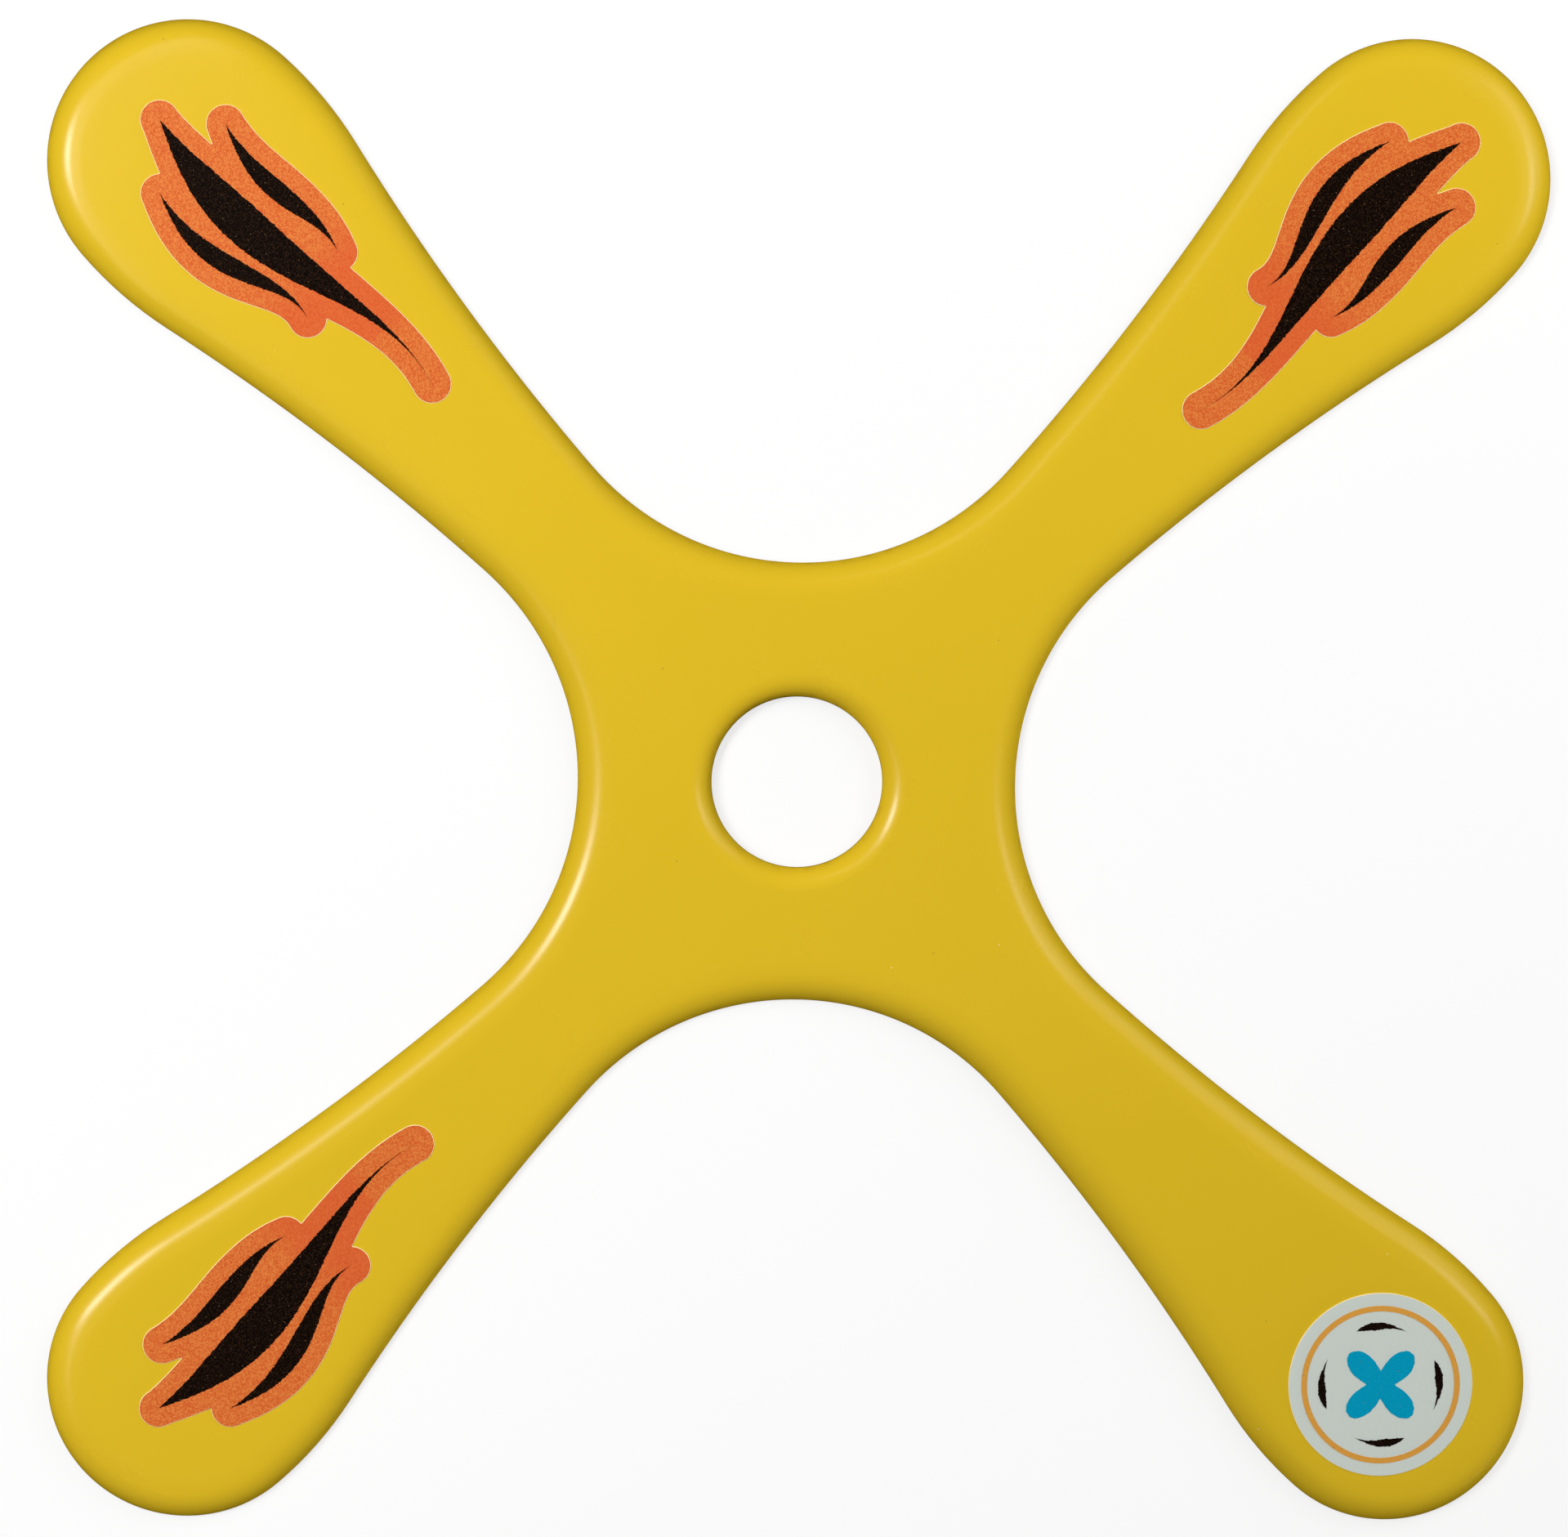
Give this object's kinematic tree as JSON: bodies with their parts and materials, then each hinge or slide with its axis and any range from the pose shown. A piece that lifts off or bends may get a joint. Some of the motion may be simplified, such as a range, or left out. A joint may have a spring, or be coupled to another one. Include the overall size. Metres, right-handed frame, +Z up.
{
  "type": "boomerang",
  "caption": "Cross-shaped throwing boomerang: a rigid moulded plastic body with rounded paddle blades and a round hub hole, with printed film decals on its upper face.",
  "frame": {"origin": "centre of the hub hole, on the flat underside", "axes": "+Z up out of the decorated face; the blades lie along the diagonals between X and Y, and +Y is the top of the decorated face"},
  "size_m": [0.2394, 0.2394, 0.0042],
  "materials": {
    "yellow_plastic": "satin moulded plastic, glossy on the rounded edges",
    "orange_film": "printed film, satin, with fine print grain",
    "black_ink": "printed ink, satin",
    "white_film": "printed film, satin",
    "orange_ink": "printed ink, satin",
    "blue_ink": "printed ink, satin"
  },
  "bodies": {
    "root": {"body": "yellow_plastic", "wing_decal_1_film": "orange_film", "wing_decal_1_long_stroke": "black_ink", "wing_decal_1_upper_stroke": "black_ink", "wing_decal_1_lower_stroke": "black_ink", "wing_decal_2_film": "orange_film", "wing_decal_2_long_stroke": "black_ink", "wing_decal_2_upper_stroke": "black_ink", "wing_decal_2_lower_stroke": "black_ink", "wing_decal_3_film": "orange_film", "wing_decal_3_long_stroke": "black_ink", "wing_decal_3_upper_stroke": "black_ink", "wing_decal_3_lower_stroke": "black_ink", "round_label_film": "white_film", "round_label_ring": "orange_ink", "round_label_rotor": "blue_ink", "round_label_mark_1": "black_ink", "round_label_mark_2": "black_ink", "round_label_mark_3": "black_ink", "round_label_mark_4": "black_ink"}
  },
  "joints": []
}
